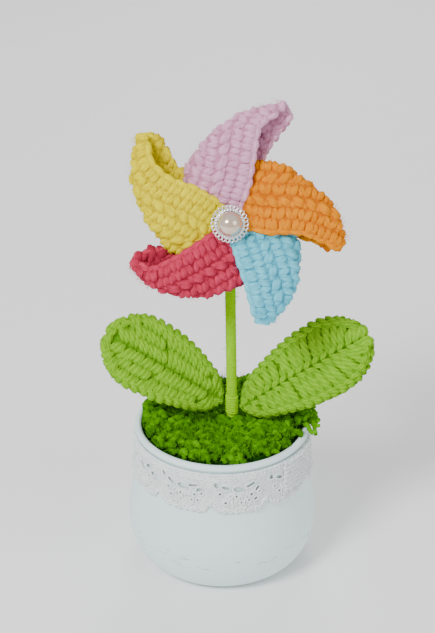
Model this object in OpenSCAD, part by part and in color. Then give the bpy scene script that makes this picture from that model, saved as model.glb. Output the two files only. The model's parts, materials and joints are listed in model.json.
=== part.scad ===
// Potted pinwheel ornament: five folded crochet blades turn on a pin at the head of a
// yarn-wrapped wire stem, which stands with two crochet leaves in a lace-trimmed plastic pot.
// The origin is the middle of the pot's foot, +Z is up and the wheel faces -Y.

/* [Pot] */
// Height of the pot from its foot to the top of its lip
pot_h = 63.5; // [62:0.5:66]
// Thickness of the pot's wall
pot_wall = 2.2; // [1.6:0.1:2.6]
// Thickness of the pot's floor
pot_floor = 3; // [2:0.5:4]
// Radius of the rolled bead along the lip
lip_bead_r = 1.5; // [1.3:0.1:1.7]

/* [Filling] */
// Height of the top of the plaster weight
plaster_top = 20; // [12:1:24]
// Height of the top of the foam plug
foam_top = 58.5; // [56:0.5:58.5]
// Radius of the roll of moss that hangs over the rim
moss_roll_r = 3.2; // [2.5:0.1:3.4]

/* [Lace] */
// Thickness of the crochet lace
lace_t = 0.9; // [0.5:0.1:1.2]
// Height of the lace from scallop to top edge
lace_h = 17.5; // [14:0.5:19]
// Number of scallops round the pot
scallops = 10; // [6:1:14]

/* [Stem] */
// Radius of the bare stem wire
wire_r = 1; // [0.8:0.1:1.2]
// Radius of the stem over its yarn wrapping
wrap_r = 2.3; // [2:0.1:2.6]
// Height at which the left leaf is bound to the stem
left_leaf_z = 73; // [72:0.5:78]
// Height at which the right leaf is bound to the stem
right_leaf_z = 69.5; // [69:0.5:76]

/* [Wheel] */
// Height of the middle of the wheel
wheel_z = 159.1; // [150:0.1:170]
// How far the middle of the wheel stands in front of the stem
wheel_y = 11; // [11:0.1:13]
// Sideways place of the middle of the wheel
wheel_x = 2.7; // [2:0.1:4]
// How far the face of the wheel leans back
wheel_tilt = 22; // [15:1:24]
// Thickness of one layer of crochet in a blade
blade_t = 2.2; // [1.8:0.1:2.6]
// Radius of the pin that the wheel turns on
pin_r = 0.8; // [0.7:0.1:1]
// Gap between the pin and the bore of its sleeve
pin_gap = 0.06; // [0.03:0.01:0.08]

/* [Leaves] */
// Thickness of a leaf at its middle
leaf_t = 3.4; // [2.6:0.1:4]
// Length of the left leaf
left_leaf_l = 56; // [50:1:62]
// Length of the right leaf
right_leaf_l = 61; // [50:1:66]
// Width of a leaf at its widest
leaf_w = 31; // [26:1:33]
// How far a leaf rises above level
leaf_rise = 34; // [30:1:38]
// How far the face of a leaf turns up from facing forwards
leaf_turn = 35; // [25:1:40]

/* [Hidden] */
$fn = 72;
eps = 0.01;
slip = 0.15; // clearance between pieces that are pushed into each other

// Radius of the pot's outside against height, as [radius, share of the height to the lip]
pot_curve = [[30.5, 0], [34.8, 0.06], [37.8, 0.14], [39.5, 0.24], [40, 0.36], [38.9, 0.48],
    [37.7, 0.6], [36.9, 0.7], [36.2, 0.82], [35.8, 1]];
lip_z = pot_h - lip_bead_r;
lip_r = 35.2;
neck_in = lip_r - lip_bead_r;
lace_top = lip_z - lip_bead_r - 0.3;
lace_bottom = lace_top - lace_h;
scallop_notch_r = 3.4;
lace_end_from = 42;
lace_end_sweep = 34;
lace_end_h = 14;

stem_foot = [4.1, 0, pot_h];
tilt_sin = sin(wheel_tilt);
tilt_cos = cos(wheel_tilt);
wheel_centre = [wheel_x, -wheel_y, wheel_z];
facing = [0, -tilt_cos, tilt_sin]; // direction in which the wheel faces
sleeve_back = wheel_y / tilt_cos; // from the wheel's middle back to the stem's own plane
sleeve_r = 2.1;
sleeve_half = 3.5;
eye_r = sleeve_r + wire_r - 0.05;
knuckle_r = 1.25 * wire_r; // the bend under the eye is a little fatter than the wire
head = wheel_centre - sleeve_back * facing;
eye_foot = head + eye_r * [0, -tilt_sin, -tilt_cos];
bend_top = [head[0] + 0.1, 0, head[2] - 5.5];
wire_foot_z = 26;
wrap_top = head[2] - 6.5;

pad_back = -7.4;
pad_front = -5.4;
bead_gap = 0.3;
bead_r = 2.4;
sleeve_front = sleeve_half - sleeve_back;
sleeve_end = -sleeve_half - sleeve_back;
setting_w = 6.4;
pearl_r = 4.8;

binding_r = wrap_r + 0.6;
leaf_start = binding_r + 1.55; // from the stem's axis to a leaf's hinge
leaf_wire_r = 0.5;
leaf_wire_share = 0.6; // share of the leaf's length that the wire reaches

// Smooth curve through the points p, at s from 0 at the first point to 1 at the last
function along(p, s) =
    let (last = len(p) - 1, x = min(s * last, last - eps / 10), i = floor(x), f = x - i,
         a = p[max(i - 1, 0)], b = p[i], c = p[i + 1], d = p[min(i + 2, last)])
    0.5 * (2 * b + (c - a) * f + (2 * a - 5 * b + 4 * c - d) * f * f
        + (3 * b - a - 3 * c + d) * f * f * f);

// Two triangles for the four corners a, b, c, d of a patch
function patch(a, b, c, d) = [[a, b, c], [a, c, d]];

// Triangles of a closed tube-like skin: rings of n points, one ring after another, whose
// ends are closed as strips between point k and point n - 1 - k
function skin(rings, n) = [
    for (i = [0 : rings - 2], k = [0 : n - 1])
        each patch(i * n + k, i * n + (k + 1) % n, (i + 1) * n + (k + 1) % n, (i + 1) * n + k),
    for (k = [0 : n / 2 - 2])
        each patch(k, n - 1 - k, n - 2 - k, k + 1),
    for (k = [0 : n / 2 - 2])
        each patch((rings - 1) * n + k, (rings - 1) * n + k + 1,
            (rings - 1) * n + n - 2 - k, (rings - 1) * n + n - 1 - k)];

// ---- Pot and filling ----

pot_steps = 22;
function pot_at(s) = let (p = along(pot_curve, s)) [p[0], p[1] * lip_z];
pot_outline = [for (i = [0 : pot_steps]) pot_at(i / pot_steps)];
// Radius of an outline, a list of [radius, z] from its foot up, along its straight runs
function radius_on(outline, z) =
    let (i = max([for (k = [0 : len(outline) - 2]) if (outline[k][1] <= z) k]),
         a = outline[i], b = outline[i + 1])
    a[0] + (b[0] - a[0]) * (z - a[1]) / (b[1] - a[1]);
function pot_radius(z) = radius_on(pot_outline, z);
inner_steps = 14;
function levels(low, high, n) = [for (i = [0 : n]) low + (high - low) * i / n];
pot_inside = [for (z = levels(pot_floor, lip_z, inner_steps)) [pot_radius(z) - pot_wall, z]];

module pot() {
    inside_down = [for (i = [inner_steps : -1 : 0]) pot_inside[i]];
    color("white") rotate_extrude() {
        polygon(concat([[0, 0]], pot_outline, inside_down, [[0, pot_floor]]));
        translate([lip_r, lip_z]) circle(lip_bead_r, $fn = 32);
    }
}

// Solid that fills the pot between two heights
module filling(low, high) {
    steps = concat([low], [for (p = pot_inside) if (p[1] > low && p[1] < high) p[1]], [high]);
    side = [for (z = steps) [radius_on(pot_inside, z) - slip, z]];
    rotate_extrude() polygon(concat([[0, low]], side, [[0, high]]));
}

module plaster_weight() {
    color("gainsboro") filling(pot_floor, plaster_top);
}

module foam_plug() {
    color("darkolivegreen") difference() {
        filling(plaster_top + eps, foam_top);
        stem_axis_place() translate([0, 0, wire_foot_z - pot_h]) cylinder(r = wire_r, h = pot_h);
    }
}

module moss_mat() {
    crown = [[0, 0.5], [33.1, 0.5], [33.3, 4], [32.4, 6.5], [28, 8], [20, 7], [10, 4.6], [0, 4]];
    color("yellowgreen") difference() {
        translate([0, 0, foam_top]) rotate_extrude() polygon(crown);
        stem_axis_place() translate([0, 0, -20]) cylinder(r = wrap_r + slip, h = 40);
    }
}

module moss_overhang() {
    color("yellowgreen") translate([0, 0, pot_h + moss_roll_r + 0.1]) rotate([0, 0, -12])
        rotate_extrude(angle = 46) translate([neck_in, 0]) circle(moss_roll_r, $fn = 32);
}

// ---- Lace ----

module lace_sleeve(low, high, gap) {
    steps = levels(low, high, 8);
    inner = [for (z = steps) [pot_radius(z) + gap, z]];
    outer = [for (i = [len(steps) - 1 : -1 : 0]) [inner[i][0] + lace_t, steps[i]]];
    polygon(concat(inner, outer));
}

module lace_band() {
    color("white") difference() {
        rotate_extrude() lace_sleeve(lace_bottom, lace_top, 0.1);
        for (i = [0 : scallops - 1])
            rotate([0, 0, 360 * (i + 0.3) / scallops]) translate([30, 0, lace_bottom - 0.6])
                rotate([0, 90, 0]) cylinder(r = scallop_notch_r, h = 12, $fn = 32);
    }
}

module lace_end() {
    color("white") rotate([0, 0, lace_end_from - 90]) rotate_extrude(angle = lace_end_sweep)
        lace_sleeve(lace_top - lace_end_h, lace_top - 0.2, lace_t + 0.2);
}

// ---- Stem ----

// Frame whose Z runs along the straight part of the stem, from its foot at the pot's rim
module stem_axis_place() {
    lean = bend_top - stem_foot;
    translate(stem_foot) rotate([0, atan2(lean[0], lean[2]), 0]) children();
}

// Round rod between two points
module rod(from, to, r) {
    d = to - from;
    translate(from) rotate([0, acos(d[2] / norm(d)), atan2(d[1], d[0])])
        cylinder(r = r, h = norm(d), $fn = 32);
}

module head_place() {
    translate(head) rotate([90 - wheel_tilt, 0, 0]) children();
}

module stem_wire() {
    color("silver") union() {
        stem_axis_place() translate([0, 0, wire_foot_z - pot_h])
            cylinder(r = wire_r, h = norm(bend_top - stem_foot) + pot_h - wire_foot_z, $fn = 32);
        translate(bend_top) sphere(knuckle_r, $fn = 32);
        rod(bend_top, eye_foot, wire_r);
        head_place() difference() {
            cylinder(r = eye_r + wire_r, h = 2 * wire_r, center = true);
            cylinder(r = eye_r - wire_r, h = 4 * wire_r, center = true);
        }
    }
}

module stem_wrap() {
    color("olivedrab") stem_axis_place() translate([0, 0, foam_top + 1 - pot_h]) difference() {
        cylinder(r = wrap_r, h = wrap_top - foam_top - 1);
        translate([0, 0, -1]) cylinder(r = wire_r, h = wrap_top, $fn = 32);
    }
}

module leaf_binding() {
    low = min(left_leaf_z, right_leaf_z) - 2;
    tall = max(left_leaf_z, right_leaf_z) + 2 - low;
    color("yellowgreen") stem_axis_place() translate([0, 0, low - pot_h]) difference() {
        cylinder(r = binding_r, h = tall);
        translate([0, 0, -1]) cylinder(r = wrap_r, h = tall + 2);
    }
}

module axle_sleeve() {
    color("silver") head_place() difference() {
        cylinder(r = sleeve_r, h = 2 * sleeve_half, center = true);
        cylinder(r = pin_r + pin_gap, h = 3 * sleeve_half, center = true, $fn = 48);
    }
}

// ---- Leaves ----

// Half width of a leaf along its length, as a share of the widest
leaf_outline = [0.4, 0.6, 0.8, 0.94, 1, 1, 0.94];
leaf_base_round = 0.12; // share of the length over which the base rounds off
leaf_tip_round = 0.3; // share of the length over which the tip rounds off
leaf_end_w = 0.06; // width left at the very ends, as a share of the widest
leaf_rings = 21;
leaf_half = 9; // points across one face
leaf_arch = 3;
leaf_cup = 1.6;

// Point of a leaf's face: s along it, x from -1 to 1 across it, side 1 or -1 for its faces
function rounded(x) = x >= 1 ? 1 : sqrt(max(x, 0) * (2 - x));
function leaf_share(s) = max(leaf_end_w,
    along(leaf_outline, s) * rounded(s / leaf_base_round) * rounded((1 - s) / leaf_tip_round));
function leaf_point(s, x, side, length) =
    let (half = leaf_w / 2 * leaf_share(s),
         thick = leaf_t / 2 * (0.35 + 0.65 * sqrt(max(0, 1 - x * x))))
    [s * length, x * half, leaf_arch * 4 * s * (1 - s) + leaf_cup * x * x * sin(180 * s) + side * thick];

// The leaf lies along X and faces +Z
module leaf_blade(length) {
    across = [for (k = [0 : leaf_half - 1]) -cos(180 * k / (leaf_half - 1))];
    points = [for (i = [0 : leaf_rings - 1]) let (s = (1 - cos(180 * i / (leaf_rings - 1))) / 2)
        each concat([for (x = across) leaf_point(s, x, -1, length)],
            [for (k = [leaf_half - 1 : -1 : 0]) leaf_point(s, across[k], 1, length)])];
    polyhedron(points, skin(leaf_rings, 2 * leaf_half));
}

// Frame of a leaf: hand is -1 on the left and 1 on the right
module leaf_place(hand) {
    along_x = [hand * cos(leaf_rise), 0, sin(leaf_rise)];
    across_up = [-hand * sin(leaf_rise), 0, cos(leaf_rise)];
    face = cos(leaf_turn) * [0, -1, 0] + sin(leaf_turn) * across_up;
    side = cross(face, along_x);
    at = leaf_hinge(hand);
    multmatrix([[along_x[0], side[0], face[0], at[0]], [along_x[1], side[1], face[1], at[1]],
        [along_x[2], side[2], face[2], at[2]], [0, 0, 0, 1]]) children();
}

function stem_x(z) = stem_foot[0] + (bend_top[0] - stem_foot[0]) * (z - pot_h) / (bend_top[2] - pot_h);
function leaf_hinge(hand) = let (z = hand < 0 ? left_leaf_z : right_leaf_z)
    [stem_x(z) + hand * leaf_start, 0, z];

// Wire inside a leaf, bent to the arc that the leaf's middle follows
module leaf_wire(length) {
    arc_r = (length * length / 4 + leaf_arch * leaf_arch) / (2 * leaf_arch);
    half_sweep = asin(length / 2 / arc_r);
    start = 90 + half_sweep * 0.98;
    translate([length / 2, 0, leaf_arch - arc_r]) rotate([90, 0, 0])
        rotate([0, 0, start - 2 * half_sweep * leaf_wire_share])
            rotate_extrude(angle = 2 * half_sweep * leaf_wire_share)
                translate([arc_r, 0]) circle(leaf_wire_r, $fn = 24);
}

module left_leaf() {
    color("yellowgreen") leaf_place(-1) leaf_blade(left_leaf_l);
}

module left_leaf_wire() {
    color("silver") leaf_place(-1) leaf_wire(left_leaf_l);
}

module right_leaf() {
    color("yellowgreen") leaf_place(1) leaf_blade(right_leaf_l);
}

module right_leaf_wire() {
    color("silver") leaf_place(1) leaf_wire(right_leaf_l);
}

// ---- Wheel ----

// Frame of the wheel: X to the right, Y up its face and Z towards the viewer
module wheel_place() {
    translate(wheel_centre) rotate([90 - wheel_tilt, 0, 0]) children();
}

blade_rings = 13;
blade_half = 11; // points along one skin of a blade, from its front edge round the fold

// Middle of the cloth: a is -90 at the front edge, 0 at the fold and 90 at the back edge
function cloth(front, fold, back, s, a) =
    let (edge = along(a < 0 ? front : back, s), f = along(fold, s), x = 1 - cos(a), h = abs(sin(a)))
    [f[0] + (edge[0] - f[0]) * x, f[1] + (edge[1] - f[1]) * x, f[2] + (edge[2] - f[2]) * h];

function cloth_normal(front, fold, back, s, a) =
    let (ds = cloth(front, fold, back, min(s + 0.02, 1), a) - cloth(front, fold, back, max(s - 0.02, 0), a),
         da = cloth(front, fold, back, s, min(a + 2, 90)) - cloth(front, fold, back, s, max(a - 2, -90)),
         n = cross(ds, da))
    n / norm(n);

// One folded crochet blade, from its three edge curves in the wheel's frame
module blade(front, fold, back) {
    angles = [for (k = [0 : blade_half - 1]) -90 + 180 * k / (blade_half - 1)];
    points = [for (i = [0 : blade_rings - 1]) let (s = i / (blade_rings - 1),
            mid = [for (a = angles) cloth(front, fold, back, s, a)],
            n = [for (a = angles) cloth_normal(front, fold, back, s, a) * blade_t / 2])
        each concat([for (k = [0 : blade_half - 1]) mid[k] + n[k]],
            [for (k = [blade_half - 1 : -1 : 0]) mid[k] - n[k]])];
    wheel_place() polyhedron(points, skin(blade_rings, 2 * blade_half));
}

module blade_yellow() {
    color("gold") blade(
        [[-1, 5, 2], [-12, 12, 4.6], [-23, 16.6, 5.4], [-30, 23, 5], [-31.8, 32.5, 2.6]],
        [[-17.5, -13, 0], [-26, -6, 0], [-33, 6, 0.4], [-36.6, 19, 0.6], [-34.6, 33, 0.6]],
        [[-2, 7, -2], [-12, 14.5, -4.6], [-20.5, 20, -5], [-25, 27.5, -3.8], [-30.5, 33.5, -1.4]]);
}

module blade_lilac() {
    color("plum") blade(
        [[3, 5, 2], [6.7, 15, 4.6], [8.7, 26, 5.2], [11, 37, 4.4], [19.5, 43.4, 2.4]],
        [[-15, 9, 0], [-16, 20, 0], [-8.6, 30.5, 0.4], [2, 39.5, 0.6], [20.5, 45.5, 0.6]],
        [[4, 6, -2], [9, 17, -4.6], [12.8, 26.5, -5], [18, 34.5, -3.8], [23, 41, -1.4]]);
}

module blade_orange() {
    color("orange") blade(
        [[5, -1, 2], [14.5, -2.6, 4.6], [25, -2.8, 4.8], [34.5, -5.6, 3.8], [40.8, -9.4, 2]],
        [[5, 21, 0], [17, 22.5, 0], [30.5, 14, 0.4], [40.5, 4, 0.6], [43.2, -7.4, 0.6]],
        [[5, -1.5, -2], [14, -4, -4.6], [25, -4.4, -4.6], [35, -7, -3.4], [42, -9.8, -1]]);
}

module blade_blue() {
    color("skyblue") blade(
        [[0.5, -5, 2], [3.8, -14, 4.6], [6.6, -22, 4.6], [8.8, -30, 3.4], [10.8, -37.4, 2]],
        [[23.5, 0, 0], [26, -12, 0], [24.6, -24, 0.4], [20, -33, 0.6], [14.4, -38, 0.6]],
        [[2, -5, -2], [6, -14, -4.6], [9, -22, -4.4], [11, -30, -3], [12.6, -37.8, -1]]);
}

module blade_rose() {
    color("palevioletred") blade(
        [[-3, -2.5, 2], [-12, -8.5, 4.6], [-21, -13.8, 5.2], [-30, -18, 4.6], [-35.8, -15.6, 2.6]],
        [[7.5, -22.5, 0], [-7.5, -27, 0], [-21, -26.8, 0.4], [-31.5, -22, 0.6], [-37.2, -15.6, 0.6]],
        [[-4, -1, -2], [-13, -6, -4.6], [-23, -10.5, -5], [-30, -11.6, -3.8], [-35.4, -12.4, -1.4]]);
}

module hub_pad() {
    color("white") wheel_place() difference() {
        translate([0, 0, pad_back]) cylinder(r = 9, h = pad_front - pad_back);
        cylinder(r = pin_r, h = 20, center = true, $fn = 48);
    }
}

module axle_pin() {
    back = sleeve_end - bead_gap - 3;
    color("silver") wheel_place() translate([0, 0, back])
        cylinder(r = pin_r, h = setting_w - back, $fn = 48);
}

module drilled_bead(low, high) {
    wheel_place() difference() {
        translate([0, 0, low]) cylinder(r = bead_r, h = high - low);
        translate([0, 0, low - 1]) cylinder(r = pin_r, h = high - low + 2, $fn = 48);
    }
}

module front_bead() {
    color("ivory") drilled_bead(sleeve_front + bead_gap, pad_back);
}

module rear_bead() {
    color("ivory") drilled_bead(sleeve_end - bead_gap - 2.6, sleeve_end - bead_gap);
}

module pearl_setting() {
    cup = [[0, 0], [7.4, 0], [7.4, 0.8], [6.1, 1.1], [5.6, 2.1], [5.1, 2.1], [4.8, 1], [0, 1]];
    color("silver") wheel_place() translate([0, 0, setting_w]) rotate_extrude() polygon(cup);
}

module pearl() {
    lift = 1.4;
    color("linen") wheel_place() translate([0, 0, setting_w + 1]) intersection() {
        translate([0, 0, lift]) sphere(pearl_r, $fn = 64);
        translate([-2 * pearl_r, -2 * pearl_r, 0]) cube(4 * pearl_r);
    }
}

pot();
plaster_weight();
foam_plug();
moss_mat();
moss_overhang();
lace_band();
lace_end();
stem_wire();
stem_wrap();
leaf_binding();
axle_sleeve();
left_leaf();
left_leaf_wire();
right_leaf();
right_leaf_wire();
blade_yellow();
blade_lilac();
blade_orange();
blade_blue();
blade_rose();
hub_pad();
axle_pin();
front_bead();
rear_bead();
pearl_setting();
pearl();
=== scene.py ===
import json
import math

import bmesh
import bpy
import numpy as np
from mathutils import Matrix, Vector


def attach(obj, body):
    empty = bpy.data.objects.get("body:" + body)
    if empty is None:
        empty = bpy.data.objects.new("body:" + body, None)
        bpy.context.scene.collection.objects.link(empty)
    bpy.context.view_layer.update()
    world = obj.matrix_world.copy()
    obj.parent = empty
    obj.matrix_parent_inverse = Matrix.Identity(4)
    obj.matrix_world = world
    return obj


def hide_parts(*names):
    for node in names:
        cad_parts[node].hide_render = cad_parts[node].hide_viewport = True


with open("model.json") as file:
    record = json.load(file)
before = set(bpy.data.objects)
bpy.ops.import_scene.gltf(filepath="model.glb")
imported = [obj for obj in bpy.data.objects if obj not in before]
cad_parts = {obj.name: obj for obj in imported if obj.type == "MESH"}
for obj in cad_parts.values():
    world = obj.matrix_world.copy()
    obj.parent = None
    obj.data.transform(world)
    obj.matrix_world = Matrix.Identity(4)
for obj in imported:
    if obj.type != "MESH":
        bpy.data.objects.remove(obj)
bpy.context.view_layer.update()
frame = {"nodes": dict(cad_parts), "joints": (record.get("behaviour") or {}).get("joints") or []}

# Lengths are in millimetres up to the point where a mesh is made, which is in metres.
MM = 0.001
JOINTS = {j["name"]: j for j in frame["joints"]}
STAND, WHEEL, LEFT, RIGHT = "stand", "wheel", "leaf_left", "leaf_right"


# ---------------------------------------------------------------- camera, floor and light

CAMERA_AIM = Vector((-1.97, 0, 112.4)) * MM
CAMERA_DISTANCE, CAMERA_ELEVATION = 0.66, math.radians(28)
LENS, SENSOR = 92.7, 36
WORLD_LIGHT = 0.66
# Each soft disc light: its place, its width and its power
LIGHTS = {
    "key": ((-0.55, -0.7, 0.95), 0.4, 15),
    "fill": ((0.8, -0.6, 0.6), 0.7, 3),
    "back": ((0.1, 0.9, 0.8), 0.6, 5),
}
LIGHT_TARGET = Vector((0, 0, 0.1))
FLOOR_HALF, FLOOR_PAINT = 3, (0.93, 0.93, 0.93)


def aim(obj, target):
    obj.rotation_euler = (target - obj.location).to_track_quat("-Z", "Y").to_euler()


def make_camera():
    data = bpy.data.cameras.new("camera")
    data.lens, data.sensor_width = LENS, SENSOR
    data.clip_start, data.clip_end = 0.01, 20
    cam = bpy.data.objects.new("camera", data)
    bpy.context.collection.objects.link(cam)
    back = Vector((0, -math.cos(CAMERA_ELEVATION), math.sin(CAMERA_ELEVATION)))
    cam.location = CAMERA_AIM + back * CAMERA_DISTANCE
    aim(cam, CAMERA_AIM)
    bpy.context.scene.camera = cam


def make_light(name, place, size, power):
    data = bpy.data.lights.new(name, "AREA")
    data.shape, data.size, data.energy = "DISK", size, power
    lamp = bpy.data.objects.new(name, data)
    bpy.context.collection.objects.link(lamp)
    lamp.location = place
    aim(lamp, LIGHT_TARGET)


def make_stage():
    bm = bmesh.new()
    bmesh.ops.create_grid(bm, x_segments=1, y_segments=1, size=FLOOR_HALF)
    mesh = bpy.data.meshes.new("floor")
    bm.to_mesh(mesh)
    bm.free()
    floor = bpy.data.objects.new("floor", mesh)
    bpy.context.collection.objects.link(floor)
    mesh.materials.append(matt_paint("floor_paint", FLOOR_PAINT, 0.9))
    world = bpy.data.worlds.new("studio")
    bpy.context.scene.world = world
    world.use_nodes = True
    backdrop = world.node_tree.nodes["Background"].inputs
    backdrop["Color"].default_value = (1, 1, 1, 1)
    backdrop["Strength"].default_value = WORLD_LIGHT
    for name, (place, size, power) in LIGHTS.items():
        make_light(name, place, size, power)


# ---------------------------------------------------------------- materials


class Paint:
    """A material's node tree, with the steps that the finishes below share. Colours are plain
    tuples or sockets."""

    def __init__(self, name, **values):
        """The values are the shader's own, with _ for each space in a socket's name."""
        self.material = bpy.data.materials.new(name)
        self.material.use_nodes = True
        self.nodes, self.links = self.material.node_tree.nodes, self.material.node_tree.links
        self.inputs = self.nodes["Principled BSDF"].inputs
        for key, value in values.items():
            self.inputs[key.replace("_", " ")].default_value = value

    def place(self):
        return self.nodes.new("ShaderNodeTexCoord").outputs["Object"]

    def noise(self, scale, detail=3, stretch=(1, 1, 1)):
        """Noise that is fixed to the piece, scale in features per metre."""
        warp = self.nodes.new("ShaderNodeMapping")
        warp.inputs["Scale"].default_value = stretch
        noise = self.nodes.new("ShaderNodeTexNoise")
        noise.inputs["Scale"].default_value = scale
        noise.inputs["Detail"].default_value = detail
        self.links.new(self.place(), warp.inputs["Vector"])
        self.links.new(warp.outputs["Vector"], noise.inputs["Vector"])
        return noise.outputs["Fac"]

    def mix(self, fac, a, b):
        node = self.nodes.new("ShaderNodeMix")
        node.data_type = "RGBA"
        if isinstance(fac, float):
            node.inputs["Factor"].default_value = fac
        else:
            self.links.new(fac, node.inputs["Factor"])
        for key, value in (("A", a), ("B", b)):
            socket = [s for s in node.inputs if s.name == key and s.type == "RGBA"][0]
            if isinstance(value, tuple):
                socket.default_value = (*value, 1)
            else:
                self.links.new(value, socket)
        return [s for s in node.outputs if s.type == "RGBA"][0]

    def remap(self, value, low, high, to_low=0.0, to_high=1.0):
        node = self.nodes.new("ShaderNodeMapRange")
        for key, number in (("From Min", low), ("From Max", high), ("To Min", to_low), ("To Max", to_high)):
            node.inputs[key].default_value = number
        self.links.new(value, node.inputs["Value"])
        return node.outputs["Result"]

    def times(self, a, b):
        node = self.nodes.new("ShaderNodeMath")
        node.operation = "MULTIPLY"
        self.links.new(a, node.inputs[0])
        self.links.new(b, node.inputs[1])
        return node.outputs["Value"]

    def mottle(self, colour, depth, scale):
        """The colour with a soft random darkening down to depth times itself."""
        return self.mix(self.noise(scale), tuple(c * depth for c in colour), colour)

    def colour(self, socket):
        self.links.new(socket, self.inputs["Base Color"])

    def rough(self, scale, low, high):
        """Roughness that wanders between low and high."""
        self.links.new(self.remap(self.noise(scale), 0.3, 0.7, low, high), self.inputs["Roughness"])

    def bump(self, height, strength, distance):
        node = self.nodes.new("ShaderNodeBump")
        node.inputs["Strength"].default_value = strength
        node.inputs["Distance"].default_value = distance
        self.links.new(height, node.inputs["Height"])
        self.links.new(node.outputs["Normal"], self.inputs["Normal"])


def matt_paint(name, colour, roughness):
    """A matt surface with a very faint mottle."""
    paint = Paint(name, Roughness=roughness)
    paint.colour(paint.mottle(colour, 0.985, 12))
    return paint.material


def yarn_paint(name, colour, shade_colour, sheen=0.06):
    """Cotton yarn: the piece's attribute of painted shade and random tone runs from the shade
    colour, painted in the gaps as shade, to the full colour on the crowns, with fibres and small differences
    of dye over it."""
    paint = Paint(name, Roughness=0.88, Specular_IOR_Level=0.08, Sheen_Weight=sheen, Sheen_Roughness=0.45,
                  Sheen_Tint=(*colour, 1), Specular_Tint=(*colour, 1))
    tone = paint.nodes.new("ShaderNodeAttribute")
    tone.attribute_name = "tone"
    # Painted shade: the shade colour where the attribute is low, the yarn's own colour where it is high
    body = paint.mix(tone.outputs["Fac"], shade_colour, colour)
    pale = tuple(min(1.0, c * 1.12 + 0.01) for c in colour)
    fibres = paint.remap(paint.noise(2600, 2), 0.35, 0.7)
    body = paint.mix(fibres, body, paint.mix(0.35, body, pale))
    dye = paint.remap(paint.noise(420), 0.3, 0.7)
    paint.colour(paint.mix(dye, paint.mix(0.24, body, shade_colour), body))
    paint.bump(paint.noise(2400, 4), 0.6, 0.0004)
    return paint.material


def bead_paint(name, colour, roughness):
    """Glossy plastic under a thin coat."""
    paint = Paint(name, Coat_Weight=0.3)
    paint.colour(paint.mottle(colour, 0.96, 40))
    paint.rough(90, roughness - 0.05, roughness + 0.05)
    paint.bump(paint.noise(1500, 2), 0.08, 0.0001)
    return paint.material


def pot_paint():
    """Matt white plastic with a faint blue cast, and scuffs in a band low on its belly."""
    paint = Paint("pot_white", Subsurface_Weight=0.08, Subsurface_Radius=(0.004, 0.004, 0.004))
    split = paint.nodes.new("ShaderNodeSeparateXYZ")
    paint.links.new(paint.place(), split.inputs["Vector"])
    height = split.outputs["Z"]
    band = paint.times(paint.remap(height, 0.013, 0.015), paint.remap(height, 0.022, 0.019))
    scuffs = paint.remap(paint.noise(160, 4, (1, 1, 6)), 0.60, 0.68)
    white = paint.mottle((0.74, 0.905, 0.905), 0.975, 25)
    paint.colour(paint.mix(paint.times(scuffs, band), white, (0.42, 0.46, 0.46)))
    paint.rough(70, 0.42, 0.52)
    paint.bump(paint.noise(900, 2), 0.06, 0.0001)
    return paint.material


def metal_paint(name, colour, roughness):
    paint = Paint(name, Metallic=1)
    paint.colour(paint.mottle(colour, 0.85, 700))
    paint.rough(900, roughness, roughness + 0.14)
    return paint.material


def pearl_paint():
    """Champagne pearl: a half-metallic lustre that takes up the colours round it."""
    paint = Paint("pearl_lustre", Metallic=0.62, Roughness=0.17, Coat_Weight=1.0, Coat_Roughness=0.03)
    warm = paint.remap(paint.noise(170, 2), 0.42, 0.66)
    paint.colour(paint.mix(warm, paint.mottle((0.74, 0.66, 0.58), 0.86, 300), (0.66, 0.50, 0.36)))
    return paint.material


# ---------------------------------------------------------------- geometry helpers


def spline(points, s):
    """Smooth curve through the points, for an array s from 0 at the first to 1 at the last."""
    p = np.asarray(points, float)
    last = len(p) - 1
    x = np.clip(np.asarray(s, float) * last, 0, last - 1e-6)
    i = x.astype(int)
    f = x - i
    f = f[..., None] if p.ndim > 1 else f
    a, b, c, d = p[np.maximum(i - 1, 0)], p[i], p[i + 1], p[np.minimum(i + 2, last)]
    return 0.5 * (2 * b + (c - a) * f + (2 * a - 5 * b + 4 * c - d) * f**2 + (3 * b - a - 3 * c + d) * f**3)


def unit(v):
    return v / np.maximum(np.linalg.norm(v, axis=-1, keepdims=True), 1e-12)


def add_piece(mesh, material, body, nodes):
    """A smooth-shaded piece of the mesh, riding on a body and standing for CAD nodes."""
    mesh.polygons.foreach_set("use_smooth", [True] * len(mesh.polygons))
    mesh.materials.append(material)
    piece = bpy.data.objects.new(mesh.name, mesh)
    bpy.context.collection.objects.link(piece)
    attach(piece, body)
    if nodes:
        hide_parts(*nodes)
    return piece


def make_piece(name, verts, faces, material, body, nodes, tone):
    """A piece from vertices in millimetres, each with its amount of painted shade and random tone."""
    mesh = bpy.data.meshes.new(name)
    mesh.from_pydata((verts * MM).tolist(), [], faces)
    mesh.validate()
    layer = mesh.attributes.new("tone", "FLOAT", "POINT")
    layer.data.foreach_set("value", np.asarray(tone, np.float32))
    return add_piece(mesh, material, body, nodes)


def slab(outer, inner):
    """Vertices and faces of a closed skin between two grids of points."""
    rows, cols = outer.shape[:2]
    half = rows * cols
    i = (np.arange(rows - 1)[:, None] * cols + np.arange(cols - 1)[None]).reshape(-1)
    faces = np.stack([i, i + cols, i + cols + 1, i + 1], 1).tolist()
    faces += np.stack([i + half, i + half + 1, i + half + cols + 1, i + half + cols], 1).tolist()
    rim = ([a * cols for a in range(rows)] + [half - cols + b for b in range(1, cols)]
           + [a * cols + cols - 1 for a in range(rows - 2, -1, -1)] + [b for b in range(cols - 2, 0, -1)])
    for here, there in zip(rim, rim[1:] + rim[:1]):
        faces.append((here, here + half, there + half, there))
    return np.concatenate([outer.reshape(-1, 3), inner.reshape(-1, 3)]), faces


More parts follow.
